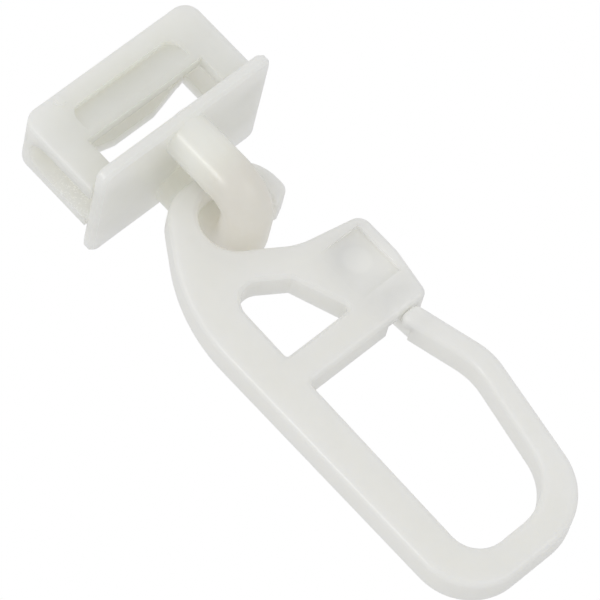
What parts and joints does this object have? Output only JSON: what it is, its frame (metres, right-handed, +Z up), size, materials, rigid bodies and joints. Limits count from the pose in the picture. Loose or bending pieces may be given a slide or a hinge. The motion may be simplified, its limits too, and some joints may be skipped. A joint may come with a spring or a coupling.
{
  "type": "curtain glider",
  "caption": "Moulded curtain track glider: a bridge-shaped slider with a flange and an eye below it, and a loose pleat hook whose springy leg latches behind a crossbar.",
  "frame": {"origin": "middle of the flange's underside, the face that slides on the lips of the track", "axes": "+X across the track and in the plane of the hook, +Y along the track, +Z up"},
  "size_m": [0.0156, 0.0104, 0.0448],
  "materials": {
    "glider_plastic": "satin, milky and slightly translucent",
    "hook_plastic": "satin, milky and slightly translucent"
  },
  "bodies": {
    "glider_body": {"glider": "glider_plastic"},
    "hook_body": {"pleat_hook": "hook_plastic"}
  },
  "joints": [
    {"name": "hook_swing", "type": "hinge", "parent": "glider_body", "child": "hook_body", "pos_m": [0, 0, -0.0064], "axis": [0, 1, 0], "range_deg": [-65, 65]}
  ]
}
